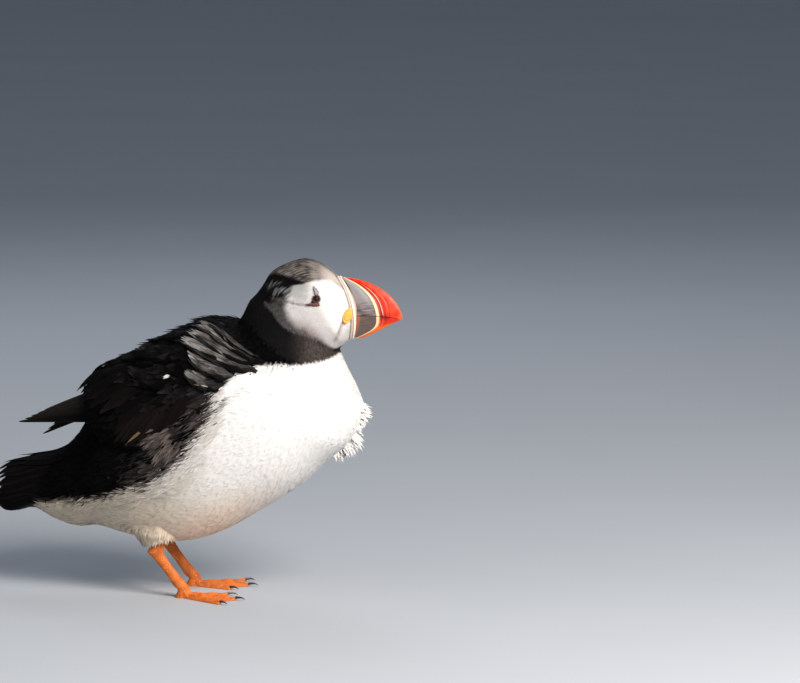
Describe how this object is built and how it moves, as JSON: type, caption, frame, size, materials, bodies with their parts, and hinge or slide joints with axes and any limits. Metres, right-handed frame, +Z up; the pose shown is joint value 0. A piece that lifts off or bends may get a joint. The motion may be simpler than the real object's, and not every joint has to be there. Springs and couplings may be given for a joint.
{
  "type": "atlantic puffin",
  "caption": "Life-size Atlantic puffin, standing still on both webbed feet with its head raised and its wings folded.",
  "frame": {"origin": "bottom centre of the model's bounding box, on the ground between the feet and the tail tip", "axes": "+X the way the bird faces, +Y its left side, +Z up"},
  "size_m": [0.2586, 0.1008, 0.211],
  "materials": {
    "feathers_black": "overlapping black feathers with a soft brown-grey sheen",
    "feathers_white": "soft white body feathers, dusky along the flank and warm cream under the tail",
    "feathers_face": "short velvety feathers, pale grey face under a dark grey crown",
    "leg_skin": "orange scaled skin, slightly glossy",
    "claw_horn": "near-black horn",
    "bill_sheath": "grooved horn, slate-grey base, cream line, orange-red tip, satin gloss",
    "bill_ridge": "pale cream pitted skin",
    "gape_skin": "yellow-orange wrinkled skin",
    "eye_plate": "slate-grey horny plates, satin",
    "eye": "wet dark brown eye"
  },
  "bodies": {
    "root": {"tail": "feathers_black", "neck": "feathers_black", "wing_right": "feathers_black", "wing_left": "feathers_black", "primaries_right": "feathers_black", "primaries_left": "feathers_black", "trunk": "feathers_white", "head": "feathers_face", "leg_right": "leg_skin", "leg_left": "leg_skin", "foot_right": "leg_skin", "foot_left": "leg_skin", "claw_inner_right": "claw_horn", "claw_inner_left": "claw_horn", "claw_middle_right": "claw_horn", "claw_middle_left": "claw_horn", "claw_outer_right": "claw_horn", "claw_outer_left": "claw_horn", "bill_upper": "bill_sheath", "bill_lower": "bill_sheath", "bill_ridge": "bill_ridge", "gape_rosette_right": "gape_skin", "gape_rosette_left": "gape_skin", "eye_plate_upper_right": "eye_plate", "eye_plate_upper_left": "eye_plate", "eye_plate_lower_right": "eye_plate", "eye_plate_lower_left": "eye_plate", "eye_right": "eye", "eye_left": "eye"}
  },
  "joints": []
}
